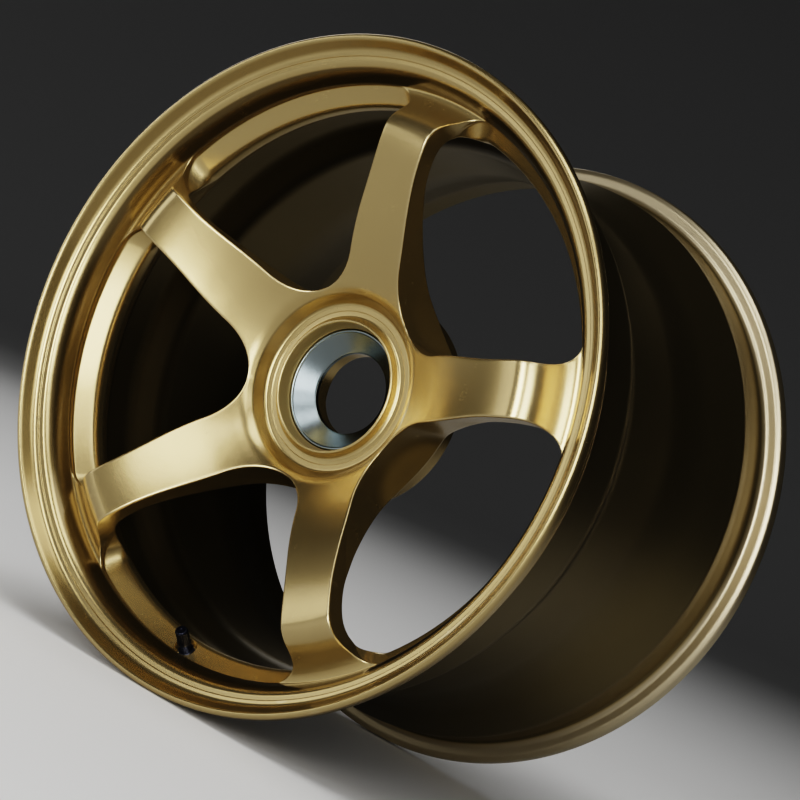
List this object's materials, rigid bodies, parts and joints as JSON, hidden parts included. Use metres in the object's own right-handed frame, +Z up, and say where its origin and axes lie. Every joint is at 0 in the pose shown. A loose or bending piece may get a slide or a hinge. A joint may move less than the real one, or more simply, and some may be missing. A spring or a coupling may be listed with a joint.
{
  "type": "racing wheel rim",
  "caption": "Forged, spoked racing wheel rim with a deep concave face, a centre-lock hub with drive pin bushes, and a clamp-in valve with a screw cap.",
  "frame": {"origin": "centre of the wheel, on the axle line, midway between the two flanges", "axes": "the axle is Y; -Y is the outboard face with the spokes, +Y is the inboard (hub) side, +Z is up with the wheel standing"},
  "size_m": [0.5224, 0.3308, 0.5224],
  "materials": {
    "gold_paint": "satin metallic champagne gold paint over forged aluminium",
    "seat_steel": "turned hardened steel, fine lathe lines",
    "bush_alloy": "hard anodised, matt grey",
    "black_anodise": "black anodised, slightly blue",
    "rubber": "matt black",
    "brass": "turned",
    "spring_steel": "drawn wire"
  },
  "bodies": {
    "rim": {"wheel_forging": "gold_paint", "centre_lock_seat": "seat_steel", "drive_bush_01": "bush_alloy", "drive_bush_02": "bush_alloy", "drive_bush_03": "bush_alloy", "drive_bush_04": "bush_alloy", "drive_bush_05": "bush_alloy", "drive_bush_06": "bush_alloy", "drive_bush_07": "bush_alloy", "drive_bush_08": "bush_alloy", "drive_bush_09": "bush_alloy", "drive_bush_10": "bush_alloy", "drive_bush_11": "bush_alloy", "drive_bush_12": "bush_alloy", "drive_bush_13": "bush_alloy", "drive_bush_14": "bush_alloy", "drive_bush_15": "bush_alloy", "valve_grommet": "rubber", "valve_stem": "black_anodise", "valve_washer": "black_anodise", "valve_nut": "black_anodise", "valve_core_body": "brass", "valve_core_spring": "spring_steel"},
    "core_pin": {"valve_core_pin": "brass", "valve_core_seal": "rubber"},
    "cap_lift": {"valve_cap_seal": "rubber"},
    "cap": {"valve_cap": "black_anodise"}
  },
  "joints": [
    {"name": "core_pin_press", "type": "slide", "parent": "rim", "child": "core_pin", "axis": [-0.0363, 0.7593, -0.6498], "range_m": [0, 0.0013], "stiffness_N_per_m": 4, "springref_m": -0.0015},
    {"name": "cap_rise", "type": "slide", "parent": "rim", "child": "cap_lift", "axis": [0.0363, -0.7593, 0.6498], "range_m": [0, 0.00476]},
    {"name": "cap_turn", "type": "hinge", "parent": "cap_lift", "child": "cap", "pos_m": [-0.013, -0.1165, -0.23254], "axis": [0.0363, -0.7593, 0.6498], "range_deg": [0, 2161]}
  ],
  "couplings": [
    {"joint": "cap_turn", "follows": "cap_rise", "rad_per_m": 7915.8}
  ]
}
